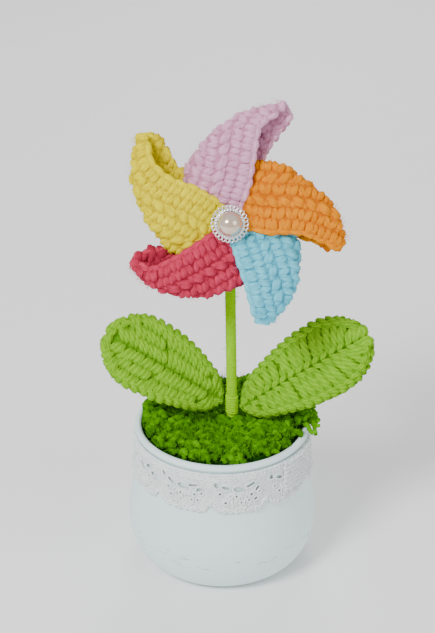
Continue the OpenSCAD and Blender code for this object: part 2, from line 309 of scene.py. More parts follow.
class Strands:
    """Gathers lengths of yarn as closed tubes whose section has plies that twist."""

    def __init__(self, sides, plies, ply_depth, turn, flat=1.0, rough=0.0, shade=0.0):
        self.sides, self.plies, self.ply_depth, self.turn = sides, plies, ply_depth, turn
        self.flat, self.rough, self.shade, self.rng = flat, rough, shade, np.random.default_rng(11)
        self.verts, self.faces, self.tones, self.count = [], [], [], 0

    def add(self, paths, radii, normals, tones):
        """Strands along paths, (n, rings, 3) or one of (rings, 3); the normals give each ring's up."""
        paths = np.asarray(paths, float)
        paths = paths[None] if paths.ndim == 2 else paths
        n, rings, _ = paths.shape
        normals = np.broadcast_to(normals, paths.shape)
        radii = np.broadcast_to(radii, (n, rings))
        tones = np.broadcast_to(tones, (n, rings))
        forward = unit(np.gradient(paths, axis=1))
        side = unit(np.cross(forward, normals))
        up = np.cross(side, forward)
        steps = np.linalg.norm(np.diff(paths, axis=1), axis=2)
        run = np.concatenate([np.zeros((n, 1)), steps.cumsum(1)], axis=1)
        angle = 2 * math.pi * np.arange(self.sides) / self.sides
        twist = 2 * math.pi * run / self.turn
        swell = 1 + self.ply_depth * np.cos(self.plies * angle)
        turned = angle[None, None] + twist[..., None] / self.plies
        ring = radii[..., None] * swell[None, None]
        if self.rough:
            ring = ring * (1 + self.rough * self.rng.standard_normal(ring.shape))
        points = (paths[:, :, None] + side[:, :, None] * (self.flat * ring * np.cos(turned))[..., None]
                  + up[:, :, None] * (ring * np.sin(turned))[..., None])
        self.verts.append(points.reshape(-1, 3))
        # Painted shade: the tone is darker in the grooves between the plies, by the shade setting
        grooves = 1 - self.shade * (0.5 - 0.5 * np.cos(self.plies * angle))
        self.tones.append((tones[..., None] * grooves).reshape(-1))
        k = self.sides
        a = np.arange(k)
        wrap = (a + 1) % k
        rows = np.arange(rings - 1)[:, None] * k
        quads = np.stack([rows + a, rows + k + a, rows + k + wrap, rows + wrap], -1).reshape(-1, 4)
        starts = self.count + np.arange(n) * rings * k
        self.faces.extend((starts[:, None, None] + quads[None]).reshape(-1, 4).tolist())
        self.faces.extend((starts[:, None] + a[None]).tolist())
        self.faces.extend((starts[:, None] + (rings - 1) * k + a[::-1][None]).tolist())
        self.count += n * rings * k

    def piece(self, name, material, body, slot_name, nodes=()):
        verts, tones = np.concatenate(self.verts), np.concatenate(self.tones)
        return make_piece(name, verts, self.faces, material, body, nodes, tones)


def fibres():
    return Strands(sides=3, plies=3, ply_depth=0.0, turn=9.0)


def plump(rings, end, middle):
    """Radii of a strand that is fat in its middle."""
    return end + (middle - end) * np.sin(np.pi * np.linspace(0, 1, rings)) ** 0.8


def fuzz(strands, rng, points, normals, length, thickness, tone):
    """Loose fibres that stand off the yarn at the points."""
    n = len(points)
    t = np.linspace(0, 1, 4)
    drift = 0.75 * normals + rng.normal(0, 0.65, (n, 3))
    curl = rng.normal(0, 0.6, (n, 1, 3)) * (t**2)[None, :, None]
    reach = length * rng.uniform(0.5, 1.0, (n, 1, 1))
    hairs = points[:, None] + reach * (drift[:, None] * t[None, :, None] + curl)
    strands.add(hairs, thickness * np.array([1.0, 0.9, 0.7, 0.4]), [0.31, 0.27, 0.91], tone)


class Cloth:
    """Smooth cloth sampled on a grid: s runs along the rows, d is the distance across them.

    middle(s, a) gives points for arrays s and a, both from 0 to 1; the cloth can be read a
    little past its edges, where it runs on straight.
    """

    def __init__(self, middle, steps=140, spare=3.0, pitch=0.3):
        grid = middle(*np.meshgrid(np.linspace(0, 1, steps), np.linspace(0, 1, steps), indexing="ij"))
        run = np.linalg.norm(np.diff(grid, axis=1), axis=2).cumsum(1)
        run = np.concatenate([np.zeros((steps, 1)), run], axis=1)
        self.width = run[:, -1]
        self.low, self.pitch, self.steps = -spare, pitch, steps
        across = np.arange(-spare, self.width.max() + spare, pitch)
        flat = np.empty((steps, len(across), 3))
        for i in range(steps):
            for axis in range(3):
                flat[i, :, axis] = np.interp(across, run[i], grid[i, :, axis])
            first, last = grid[i, 0], grid[i, -1]
            lead, tail = unit(grid[i, 3] - first), unit(last - grid[i, -4])
            under, over = np.minimum(across, 0), np.maximum(across - self.width[i], 0)
            flat[i] += under[:, None] * lead[None] + over[:, None] * tail[None]
        self.grid = flat
        self.normals = unit(np.cross(np.gradient(flat, axis=0), np.gradient(flat, axis=1)))

    def width_at(self, s):
        return np.interp(s, np.linspace(0, 1, self.steps), self.width)

    def read(self, table, s, d):
        x = np.clip(s, 0, 1) * (self.steps - 1)
        y = np.clip((d - self.low) / self.pitch, 0, table.shape[1] - 1.001)
        i, j = np.minimum(x.astype(int), self.steps - 2), y.astype(int)
        fx, fy = (x - i)[..., None], (y - j)[..., None]
        return ((table[i, j] * (1 - fy) + table[i, j + 1] * fy) * (1 - fx)
                + (table[i + 1, j] * (1 - fy) + table[i + 1, j + 1] * fy) * fx)

    def at(self, s, d, z):
        """Point at s, d, lifted by z off the middle of the cloth, and the normal there."""
        normal = unit(self.read(self.normals, s, d))
        return self.read(self.grid, s, d) + normal * z[..., None], normal

    def row(self, d, pitch, shift=0.0):
        """Places of the stitches along the row at distance d, and millimetres of row per unit of s."""
        s = np.linspace(0, 1, 400)
        width = self.width_at(s)
        line = self.read(self.grid, s, np.full_like(s, d))
        run = np.concatenate([[0], np.linalg.norm(np.diff(line, axis=0), axis=1).cumsum()])
        inside = np.nonzero(width > d)[0]
        if len(inside) < 8:
            return np.empty(0), np.empty(0), np.empty(0)
        low, high = run[inside[0]], run[inside[-1]]
        places = np.arange(low + pitch * (0.35 + shift), high, pitch)
        at_s = np.interp(places, run, s)
        rate = np.interp(at_s, s, np.maximum(np.gradient(run, s), 1.0))
        room = np.interp(at_s, s, width) - d
        keep = room > 0.2 * ROW
        return at_s[keep], rate[keep], np.minimum(room[keep] / ROW, 1.0)


# Rings of each strand; more rings make rounder bends.
STRAND_RINGS = 9
STITCH, ROW = 4.85, 4.45
SHELL_T = 1.8
BLADE_HAIRS, LEAF_HAIRS = 1500, 1300


def stamp(strands, cloth, rng, places, rates, d, shape, radius, tone, side=1.0, squash=1.0, border=None):
    """Copies a strand shape, control points (along, across, lift) in millimetres, to each place,
    each copy a little different. squash shortens the shape across the rows; border, a function
    of s, is the line that the copies follow in place of the row at d."""
    t = np.linspace(0, 1, STRAND_RINGS)
    path = spline(shape, t)
    n = len(places)
    if n == 0:
        return
    vary = lambda by: rng.normal(0, by, (n, 1))
    along = path[None, :, 0] + vary(0.14) + vary(0.45) * (t - 0.5)[None]
    s = places[:, None] + along / rates[:, None]
    base = np.reshape(d, (-1, 1)) if border is None else border(np.clip(s, 0, 1))
    across = base + np.reshape(squash, (-1, 1)) * (path[None, :, 1] + vary(0.12))
    across = np.broadcast_to(across + vary(0.25) * (t - 0.5)[None], s.shape)
    lift = side * (path[None, :, 2] + vary(0.12))
    points, normals = cloth.at(s, across, lift)
    strands.add(points, radius, normals * side, tone)


# ---------------------------------------------------------------- pot, filling and lace

POT_FLOOR, POT_WALL = 3.0, 2.2
LIP_R, LIP_Z, LIP_BEAD = 35.2, 62.0, 1.5
POT_CURVE = [(30.5, 0), (34.8, 0.06), (37.8, 0.14), (39.5, 0.24), (40, 0.36), (38.9, 0.48),
             (37.7, 0.6), (36.9, 0.7), (36.2, 0.82), (35.8, 1)]
POT_SIDE = spline(POT_CURVE, np.linspace(0, 1, 200))


def pot_radius(z):
    return np.interp(np.asarray(z) / LIP_Z, POT_SIDE[:, 1], POT_SIDE[:, 0])


def turned_piece(name, outline, material, body, node, place=None, steps=160):
    """A closed solid turned from an outline of (radius, z), which starts and ends on the axis or
    closes on itself. place takes its points from the outline's own frame into the model's."""
    outline = np.asarray(outline, float)
    n = len(outline)
    turn = 2 * math.pi * np.arange(steps)[:, None] / steps
    r, z = outline[None, :, 0], np.broadcast_to(outline[:, 1], (steps, n))
    verts = np.stack([r * np.cos(turn), r * np.sin(turn), z], -1).reshape(-1, 3)
    faces = []
    for i in range(steps):
        here, there = i * n, (i + 1) % steps * n
        faces += [(here + k, there + k, there + k + 1, here + k + 1) for k in range(n - 1)]
    mesh = bpy.data.meshes.new(name)
    mesh.from_pydata(((place(verts) if place else verts) * MM).tolist(), [], faces)
    bm = bmesh.new()
    bm.from_mesh(mesh)
    bmesh.ops.remove_doubles(bm, verts=bm.verts, dist=1e-7)
    bmesh.ops.dissolve_degenerate(bm, dist=1e-8, edges=bm.edges)
    bmesh.ops.recalc_face_normals(bm, faces=bm.faces)
    bm.to_mesh(mesh)
    bm.free()
    return add_piece(mesh, material, body, [node])


def arc(cx, cz, r, start, end, n):
    turn = np.radians(np.linspace(start, end, n))
    return [(cx + r * math.cos(t), cz + r * math.sin(t)) for t in turn]


def build_pot():
    foot_round = 1.2
    side = [(pot_radius(z), z) for z in np.linspace(foot_round, LIP_Z - 1.2, 60)]
    lip = arc(LIP_R, LIP_Z, LIP_BEAD, -20, 180, 22)
    inside = [(pot_radius(z) - POT_WALL, z) for z in np.linspace(LIP_Z - 1.6, POT_FLOOR, 30)]
    outline = [(0, 0), (29.4, 0), (pot_radius(0) - 0.3, 0.25)] + side + lip + inside + [(0, POT_FLOOR)]
    turned_piece("pot_body", outline, pot_paint(), STAND, "pot")


def round_pot(theta, z, out):
    """Points out from the pot's side at angle theta and height z."""
    r = pot_radius(z) + out
    return np.stack([r * np.cos(theta), r * np.sin(theta), z + 0 * r], -1)


LACE_TOP, LACE_H, LACE_T = 60.2, 17.5, 0.9
LACE_BOTTOM = LACE_TOP - LACE_H
# Faces of one cell of the lace, corners as (round, up, layer): the outside, the inside, and the
# four edges, each made only where the next cell that way (round, up) is a hole
LACE_CELL = [(0, 0, [(0, 0, 0), (1, 0, 0), (1, 1, 0), (0, 1, 0)]),
             (0, 0, [(0, 0, 1), (0, 1, 1), (1, 1, 1), (1, 0, 1)]),
             (-1, 0, [(0, 0, 0), (0, 1, 0), (0, 1, 1), (0, 0, 1)]),
             (1, 0, [(1, 0, 1), (1, 1, 1), (1, 1, 0), (1, 0, 0)]),
             (0, -1, [(0, 0, 0), (0, 0, 1), (1, 0, 1), (1, 0, 0)]),
             (0, 1, [(0, 1, 0), (1, 1, 0), (1, 1, 1), (0, 1, 1)])]
SCALLOPS = 10
SCALLOP = 2 * math.pi / SCALLOPS
SCALLOP_START = math.radians(36 * 0.3)
BELLY = 37.5


def lace_thread(strands, theta, z, out, radius, tone=1.0):
    """A thread through points given by angle, height and distance off the pot."""
    points = round_pot(theta, z, out)
    strands.add(points, radius, unit(points * [1, 1, 0]), tone)


def scallop_edge(theta):
    """Height of the lace's hem, with a notch between each two scallops."""
    phase = (theta - SCALLOP_START) / SCALLOP % 1.0
    off = np.minimum(phase, 1 - phase) * SCALLOP * BELLY
    return LACE_BOTTOM - 0.3 + 3.4 * np.exp(-(off / 2.1) ** 2)


def lace_holes(rng):
    """Centre (angle, height), half sizes and slant of the holes of each repeat of the lace."""
    large = [(-5.6, 54.0, 1.9, 0.8, -0.5), (-0.6, 52.9, 2.3, 1.15, -0.35), (4.6, 54.4, 2.0, 0.7, 0.35),
             (7.2, 52.2, 1.2, 0.8, 0.8), (-9.4, 55.6, 1.4, 0.7, -1.0)]
    small = [(-7.6, 50.8), (-4.0, 50.0), (-1.2, 49.6), (2.0, 50.2), (5.2, 49.9), (8.4, 50.6),
             (-5.4, 47.6), (-2.4, 46.9), (0.8, 46.6), (3.8, 47.3), (6.2, 47.8)]
    repeats = []
    for _ in range(SCALLOPS):
        holes = [(x + rng.normal(0, 0.3), z + rng.normal(0, 0.2), a * rng.uniform(0.8, 1.1),
                  b * rng.uniform(0.75, 1.1), lean + rng.normal(0, 0.15)) for x, z, a, b, lean in large]
        holes += [(x + rng.normal(0, 0.35), z + rng.normal(0, 0.25), rng.uniform(0.4, 0.8),
                   rng.uniform(0.35, 0.6), rng.normal(0, 0.8)) for x, z in small]
        repeats.append([(x / BELLY, z, a, b, lean) for x, z, a, b, lean in holes])
    return repeats


def knots(theta, z):
    """Height of the lace's knotted texture, about -1 to 1."""
    x = theta * BELLY
    a = np.sin(x * 3.7 + 1.4 * np.sin(z * 1.9) + 0.7) * np.sin(z * 4.1 + 1.2 * np.sin(x * 1.3))
    b = np.sin(x * 5.9 - z * 3.3 + 1.1 * np.sin(z * 2.7)) * np.sin(x * 2.9 + z * 5.3)
    return 0.6 * a + 0.5 * b


def build_lace(rng):
    cotton = yarn_paint("lace_cotton", (0.93, 1.0, 0.99), (0.30, 0.38, 0.39))
    across, up = 860, 60
    theta = 2 * math.pi * np.arange(across) / across
    share = np.linspace(0, 1, up)
    repeats = lace_holes(rng)

    def depth(t, z):
        """1 in the cloth, falling to 0 in a hole."""
        best = np.full(t.shape, 9.0)
        for i, holes in enumerate(repeats):
            middle = SCALLOP_START + (i + 0.5) * SCALLOP
            local = (t - middle + math.pi) % (2 * math.pi) - math.pi
            for ht, hz, a, b, lean in holes:
                x, y = (local - ht) * BELLY, z - hz
                c, s = math.cos(lean), math.sin(lean)
                best = np.minimum(best, np.hypot((x * c + y * s) / a, (y * c - x * s) / b))
        return np.clip((best - 0.85) / 0.5, 0, 1)

    low = scallop_edge(theta)
    z = low[:, None] + (LACE_TOP - low)[:, None] * share[None]
    angle = np.broadcast_to(theta[:, None], z.shape)
    cloth = depth(angle, z)
    knot_relief = 0.26 * knots(angle, z) + 0.05 * rng.standard_normal(z.shape)
    outside = round_pot(angle, z, 0.14 + LACE_T * (0.12 + 0.88 * cloth) * (0.8 + knot_relief))
    inside = round_pot(angle, z, 0.05)
    keep = cloth > 0.12
    verts = np.concatenate([outside.reshape(-1, 3), inside.reshape(-1, 3)])
    half = across * up
    # Painted shade: dark on the lace's inside and round its holes, lighter on the raised knots than between
    # them, with a little random tone
    tone = np.concatenate([(0.1 + 0.7 * cloth + 0.9 * knot_relief).reshape(-1), np.zeros(half)])
    cell = (keep & np.roll(keep, -1, 0))[:, :-1] & (keep & np.roll(keep, -1, 0))[:, 1:]
    cell = np.pad(cell, ((0, 0), (1, 1)))  # nothing past the hem and past the top
    faces = [[layer * half + (i + a) % across * up + k + b for a, b, layer in corners]
             for i, k in np.argwhere(cell[:, 1:-1]).tolist()
             for step, rise, corners in LACE_CELL
             if (step, rise) == (0, 0) or not cell[(i + step) % across, k + 1 + rise]]
    band = make_piece("lace_ground", verts, faces, cotton, STAND, ["lace_band"], tone)
    loose = bmesh.new()
    loose.from_mesh(band.data)
    bmesh.ops.delete(loose, geom=[v for v in loose.verts if not v.link_faces], context="VERTS")
    loose.to_mesh(band.data)
    loose.free()

    threads = Strands(sides=6, plies=3, ply_depth=0.12, turn=2.4)
    fine = 0.4
    ring = np.linspace(0, 2 * math.pi, 18)
    for i, holes in enumerate(repeats):
        middle = SCALLOP_START + (i + 0.5) * SCALLOP
        for ht, hz, a, b, lean in holes:
            c, s = math.cos(lean), math.sin(lean)
            x, y = (a + 0.35) * np.cos(ring), (b + 0.4) * np.sin(ring)
            wave = 0.12 * np.cumsum(rng.standard_normal(len(ring))) / 3
            lace_thread(threads, middle + ht + (x * c - y * s + wave) / BELLY, hz + x * s + y * c,
                        LACE_T + 0.1, fine * rng.uniform(0.85, 1.15))
        for k in range(9):
            lean = (k - 4) * 1.15
            t = np.linspace(0, 1, 12)
            foot = LACE_BOTTOM + 0.9 + 0.08 * lean * lean
            lace_thread(threads, middle + (lean * (0.7 + 0.38 * t) + 0.4 * np.sin(8 * t + 2 * k)) / BELLY,
                        51.4 + (foot - 51.4) * t, LACE_T + 0.05 + 0.15 * np.sin(np.pi * t), fine * 1.1)
    turn = np.linspace(0, 2 * math.pi, 640)
    for height, out, radius in ((59.7, 0.8, 0.46), (58.6, 0.85, 0.44), (57.4, 0.8, 0.42)):
        wave = 0.3 * np.sin(turn * 94 + height) + 0.1 * np.cumsum(rng.normal(0, 0.3, 640)) / 6
        beads = 1 + 0.22 * np.sin(turn * 141 + height)
        lace_thread(threads, turn, height + wave * (turn < 6.27), out, radius * beads)
    for lift, out in ((0.35, 0.8), (1.35, 0.95)):
        picot = 0.35 * np.sin(turn * SCALLOPS * 9 + lift)
        beads = 1 + 0.25 * np.sin(turn * SCALLOPS * 14)
        lace_thread(threads, turn, scallop_edge(turn) + lift + picot, out, 0.5 * beads)
    lines = threads.piece("lace_threads", cotton, STAND, "lace_cotton")


END_FROM, END_TO, END_H = math.radians(-48), math.radians(-14), 14.0


def build_lace_end(rng):
    """The end of the lace, lapped over its start and sewn down: a dense strip."""
    cotton = yarn_paint("lace_end_cotton", (0.93, 1.0, 0.99), (0.36, 0.44, 0.45))
    across, up = 90, 50
    t, k = np.meshgrid(np.linspace(0, 1, across), np.linspace(0, 1, up), indexing="ij")
    theta = END_FROM + (END_TO - END_FROM) * t + 0.006 * np.sin(k * 21)
    z = LACE_TOP - END_H - 0.2 + END_H * k + 0.18 * np.sin(t * 40)
    knot_relief = 0.26 * knots(theta, z) + 0.05 * rng.standard_normal(t.shape)
    edge = np.clip(np.minimum.reduce([t * 22, (1 - t) * 22, k * 12, (1 - k) * 12]), 0, 1)
    outside = round_pot(theta, z, 1.15 + (0.75 + knot_relief) * (0.35 + 0.65 * edge ** 0.5))
    inside = round_pot(theta, z, 1.1)
    verts, faces = slab(outside, inside)
    # Painted shade: dark on the inside, lighter on the raised knots than between them
    tone = np.concatenate([(0.65 + 0.9 * knot_relief).reshape(-1), np.zeros(knot_relief.size)])
    patch = make_piece("lace_lap", verts, faces, cotton, STAND, ["lace_end"], tone)
    threads = Strands(sides=6, plies=3, ply_depth=0.12, turn=2.4)
    for n in range(7):
        height = LACE_TOP - 1.0 - n * 2.0
        step = np.arange(40)
        wave = 0.35 * np.sin(step * 0.9 + 2 * n)
        lace_thread(threads, np.linspace(END_FROM, END_TO, 40), height + wave,
                    1.8 + 0.15 * np.cos(step * 1.3 + n), 0.42 * (1 + 0.2 * np.sin(step * 1.7)))
    lines = threads.piece("lace_lap_threads", cotton, STAND, "lace_cotton")


# ---------------------------------------------------------------- moss

# Height of the moss against radius
MOSS_EDGE = [(0, 61.8), (6, 62.0), (14, 63.2), (22, 64.8), (28, 65.4), (31.5, 64.2), (33.0, 61.8)]
MOSS_FLOOR, MOSS_R, NAP_R = 59.0, 31.8, 32.6
MOSS_CURLS, BACK_TUFTS, FOOT_TUFTS, HANGING_CURLS, HANGING_ENDS = 820, 70, 40, 74, 30
NAP_HAIRS, STEM_HAIRS = 5200, 240
STEM_X = 4.1


def moss_height(r):
    return np.interp(r, *np.transpose(MOSS_EDGE))


def around(theta, r):
    return r * np.cos(theta), r * np.sin(theta)


def build_moss(rng):
    chenille = yarn_paint("moss_chenille", (0.14, 0.47, 0.0), (0.004, 0.05, 0.0))
    # The bed under the curls is painted near black, as the shade between them
    dark = yarn_paint("moss_bed_shade", (0.01, 0.08, 0.0), (0.004, 0.04, 0.0))
    profile = [(0, MOSS_FLOOR), (32.9, MOSS_FLOOR)] + [(r, z - 1.4) for r, z in MOSS_EDGE[::-1]]
    turned_piece("moss_bed", profile, dark, STAND, "moss_mat", steps=72)

    curls = Strands(sides=8, plies=3, ply_depth=0.2, turn=2.6, rough=0.13)
    step = np.arange(MOSS_CURLS)
    r = np.sqrt((step + 0.5) / MOSS_CURLS) * MOSS_R
    golden = step * math.pi * (3 - math.sqrt(5))  # the golden angle spreads them evenly
    x, y = around(golden + rng.normal(0, 0.1, MOSS_CURLS), r)
    x, y = x + rng.normal(0, 0.7, MOSS_CURLS), y + rng.normal(0, 0.7, MOSS_CURLS)
    clear = np.hypot(x - STEM_X, y) > 2.7
    x, y = x[clear], y[clear]
    curl_moss(curls, rng, x, y, moss_height(np.hypot(x, y)) - 1.6)
    # Tufts that stand up behind the leaves and round the back of the rim
    theta = np.concatenate([rng.uniform(math.radians(10), math.radians(70), BACK_TUFTS),
                            rng.uniform(math.radians(130), math.radians(205), BACK_TUFTS)])
    r = rng.uniform(26, 32.5, 2 * BACK_TUFTS)
    curl_moss(curls, rng, *around(theta, r), np.full(2 * BACK_TUFTS, 65.6))
    # Tufts pressed round the foot of the stem
    theta = np.radians(rng.uniform(195, 345, FOOT_TUFTS))
    r = rng.uniform(3.0, 5.4, FOOT_TUFTS)
    x, y = around(theta, r)
    curl_moss(curls, rng, STEM_X + x, y, 63.6 - 0.5 * r + rng.uniform(0, 1.2, FOOT_TUFTS))
    curls.piece("moss_curls", chenille, STAND, "moss_yarn")

    nap = fibres()
    r, turn = NAP_R * np.sqrt(rng.uniform(0.02, 1, NAP_HAIRS)), rng.uniform(0, 2 * math.pi, NAP_HAIRS)
    x, y = around(turn, r)
    points = np.stack([x, y, moss_height(r) + rng.uniform(-0.8, 1.6, NAP_HAIRS)], -1)
    points[:, 2] -= 2.8 * np.exp(-((x - 13) ** 2 + (y + 2) ** 2) / 110)  # room under the right leaf
    points = points[np.hypot(x - STEM_X, y) > 2.8]
    tone = rng.uniform(0.3, 1.0, (len(points), 1))
    fuzz(nap, rng, points, np.array([[0.0, 0.0, 1.0]]), 1.9, 0.13, tone)
    nap.piece("moss_nap", chenille, STAND, "moss_yarn")

    hang = Strands(sides=8, plies=3, ply_depth=0.2, turn=2.6, rough=0.13)
    theta = np.radians(rng.uniform(-14, 36, HANGING_CURLS))
    x, y = around(theta, rng.uniform(31.5, 36.6, HANGING_CURLS))
    curl_moss(hang, rng, x, y, 65.2 + rng.uniform(-0.6, 2.2, HANGING_CURLS))
    for k in range(HANGING_ENDS):
        start = math.radians(-13 + 46 * k / (HANGING_ENDS - 1)) + rng.normal(0, 0.04)
        droop = rng.uniform(-1.0, 4.5)
        out = np.array([34.8, 36.9, 38.2 + rng.uniform(0, 1.2), 38.7 + rng.uniform(0, 2.4)])
        drop = np.array([66.6, 66.2, 64.6, 65.4 - droop])
        side = start + np.cumsum(np.append(0, rng.normal(0, 0.05, 3)))
        points = spline(np.stack([*around(side, out), drop], -1), np.linspace(0, 1, 12))
        # Painted shade: darker at the root, where each end leaves the moss, times a random tone
        tone = np.linspace(0.5, 1.0, 12) * rng.uniform(0.7, 1.0)
        hang.add(points, np.linspace(1.15, 0.75, 12), [0.3, 0.2, 1.0], tone)
    hang.piece("moss_hanging", chenille, STAND, "moss_yarn", ["moss_overhang"])


def curl_moss(strands, rng, x, y, z):
    """One short curl of chenille at each place: an arc that turns over on itself."""
    t = np.linspace(0, 1, STRAND_RINGS)
    n = len(x)
    heading = rng.uniform(0, 2 * math.pi, n)[:, None]
    reach = rng.uniform(1.4, 3.0, n)[:, None]
    rise = rng.uniform(1.2, 3.4, n)[:, None]
    sweep = rng.uniform(1.0, 1.9, n)[:, None] * math.pi
    swing = heading + rng.uniform(-1.6, 1.6, n)[:, None] * t
    arm = reach * (1 - np.cos(sweep * t)) * 0.5
    px = x[:, None] + arm * np.cos(swing) * 1.6 - reach * 0.7 * np.cos(heading)
    py = y[:, None] + arm * np.sin(swing) * 1.6 - reach * 0.7 * np.sin(heading)
    pz = z[:, None] + rise * np.sin(np.clip(sweep * t, 0, 1.15 * math.pi) * 0.85)
    radius = rng.uniform(0.9, 1.6, n)[:, None] * (0.6 + 0.4 * np.sin(np.pi * t))
    # Painted shade: each curl is darker towards its start and low down, times a random tone for each curl
    shade = rng.uniform(0.25, 1.0, n)[:, None] * np.linspace(0.25, 1.0, len(t)) ** 0.7
    low = np.clip((pz - z[:, None]) / 2.2, 0.15, 1)
    strands.add(np.stack([px, py, pz], -1), radius, [0.05, 0.08, 1.0], shade * low)


# ---------------------------------------------------------------- stem

BEND_TOP = np.array([2.8, 0, 149.16])
STEM_FOOT = np.array([STEM_X, 0, 63.5])
STEM_DIR = (BEND_TOP - STEM_FOOT) / np.linalg.norm(BEND_TOP - STEM_FOOT)
WRAP_R = 2.3


def stem_at(z):
    return STEM_FOOT + STEM_DIR * ((np.asarray(z, float) - STEM_FOOT[2]) / STEM_DIR[2])[..., None]


def helix(low, high, radius, pitch, start=0.0):
    """Path of yarn wound on the stem between two heights, and which way is out from the stem."""
    turns = (high - low) / pitch
    k = np.linspace(0, 1, int(turns * 18))
    angle = start + 2 * math.pi * turns * k
    across = np.cross(STEM_DIR, [0, 1, 0])
    depth = np.array([0, 1, 0])
    ring = radius * (np.cos(angle)[:, None] * across + np.sin(angle)[:, None] * depth)
    return stem_at(low + (high - low) * k) + ring, unit(ring)


def build_stem(rng):
    yarn = yarn_paint("stem_wrap_yarn", (0.34, 0.69, 0.0), (0.17, 0.42, 0.0))
    wrap = Strands(sides=6, plies=3, ply_depth=0.05, turn=3.0)
    path, out = helix(59.4, 148.4, WRAP_R - 0.6, 0.86)
    wrap.add(path, 0.52, out, 0.85)
    wrap.piece("stem_yarn_wrap", yarn, STAND, "stem_yarn", ["stem_wrap"])
    hairs = fibres()
    at = rng.uniform(66, 146, STEM_HAIRS)
    turn = rng.uniform(0, 2 * math.pi, STEM_HAIRS)
    out = np.stack([np.cos(turn), np.sin(turn), 0 * turn], -1)
    root = stem_at(at) + (WRAP_R - 0.2) * out
    t = np.linspace(0, 1, 5)[:, None]
    lean = rng.normal(0, 0.6, (STEM_HAIRS, 3)) + out
    hair = root[:, None] + lean[:, None] * (t * 0.8) + t**2 * rng.normal(0, 0.35, (STEM_HAIRS, 1, 3))
    hairs.add(hair, 0.05, [0.2, 0.3, 1.0], 1.0)
    hairs.piece("stem_fuzz", yarn, STAND, "stem_yarn")
    bind = Strands(sides=8, plies=4, ply_depth=0.05, turn=4.0)
    path, out = helix(67.2, 75.3, WRAP_R - 0.15, 1.0, start=0.6)
    bind.add(path, 0.56, out, 0.9)
    bind.piece("leaf_tie", yarn, STAND, "stem_yarn", ["leaf_binding"])


# ---------------------------------------------------------------- leaves

LEAF_W, LEAF_RISE, LEAF_TURN, LEAF_ARCH, LEAF_CUP = 31.0, 34.0, 35.0, 3.0, 1.6
LEAF_OUTLINE = [0.4, 0.6, 0.8, 0.94, 1, 1, 0.94]
LEAF_BASE, LEAF_TIP, LEAF_END = 0.12, 0.3, 0.06


LEAF_RINGS = 13
GROUND_HALF = 0.8
POST_PITCH, V_PITCH, LINK_PITCH = 3.9, 4.3, 3.8


def rounded(x):
    x = np.clip(x, 0, 1)
    return np.sqrt(x * (2 - x))


def leaf_half(s):
    share = spline(np.array(LEAF_OUTLINE), s) * rounded(s / LEAF_BASE) * rounded((1 - s) / LEAF_TIP)
    return LEAF_W / 2 * np.maximum(LEAF_END, share)


class Leaf:
    def __init__(self, hand, length, joint):
        self.hand, self.length = hand, length
        rise, turn = math.radians(LEAF_RISE), math.radians(LEAF_TURN)
        self.along = np.array([hand * math.cos(rise), 0, math.sin(rise)])
        up = np.array([-hand * math.sin(rise), 0, math.cos(rise)])
        self.face = math.cos(turn) * np.array([0, -1, 0]) + math.sin(turn) * up
        self.side = np.cross(self.face, self.along)
        self.root = np.array(JOINTS[joint]["pos_m"]) / MM

    def at(self, x, y, z=0.0):
        """Point x along and y across the leaf, z above its middle surface; and the normal."""
        x, y = np.asarray(x, float), np.asarray(y, float)
        s = np.clip(x / self.length, 0, 1)
        half = np.maximum(leaf_half(s), 1.0)
        lift = LEAF_ARCH * 4 * s * (1 - s) + LEAF_CUP * np.clip(y / half, -1.2, 1.2) ** 2 * np.sin(np.pi * s)
        tilt = LEAF_ARCH * 4 * (1 - 2 * s) / self.length
        roll = 2 * LEAF_CUP * y / half**2 * np.sin(np.pi * s)
        normal = unit(self.face - tilt[..., None] * self.along - roll[..., None] * self.side)
        middle = (self.root + x[..., None] * self.along + y[..., None] * self.side
                  + lift[..., None] * self.face)
        return middle + np.asarray(z)[..., None] * normal, normal


def leaf_strands(strands, leaf, paths, radius, tone, face_sign):
    """Strands from (n, controls, 3) of along, across and lift on the leaf."""
    t = np.linspace(0, 1, LEAF_RINGS)
    curved = np.stack([spline(p, t) for p in np.array(paths)])
    # Near the stem everything is kept thin and narrow, so that the leaf can bend there
    along = np.clip(curved[..., 0], 1.6, leaf.length - 0.5)
    slim = np.clip(along / 9.0, 0.25, 1.0)
    room = leaf_half(along / leaf.length) - 0.2 - 1.3 * (1 - slim)
    points, normals = leaf.at(along, np.clip(curved[..., 1], -room, room), face_sign * curved[..., 2] * slim)
    strands.add(points, radius * (0.7 + 0.3 * slim), normals * face_sign, tone)


def leaf_rim(leaf, inset, steps):
    """Evenly spaced points (along, across) round the leaf's edge, in by inset, base to tip to base."""
    s = (1 - np.cos(np.linspace(0, math.pi, 240))) / 2
    half = leaf_half(s)
    edge = np.concatenate([np.stack([s, half], 1), np.stack([s, -half], 1)[::-1]])
    shrink = 1 - 2 * inset / leaf.length
    edge[:, 0] = leaf.length * (0.5 + (edge[:, 0] - 0.5) * shrink)
    edge[:, 1] *= 1 - 2 * inset / LEAF_W
    run = np.concatenate([[0], np.linalg.norm(np.diff(edge, axis=0), axis=1).cumsum()])
    want = np.linspace(0, run[-1], steps)
    return np.stack([np.interp(want, run, edge[:, 0]), np.interp(want, run, edge[:, 1])], 1), run[-1]


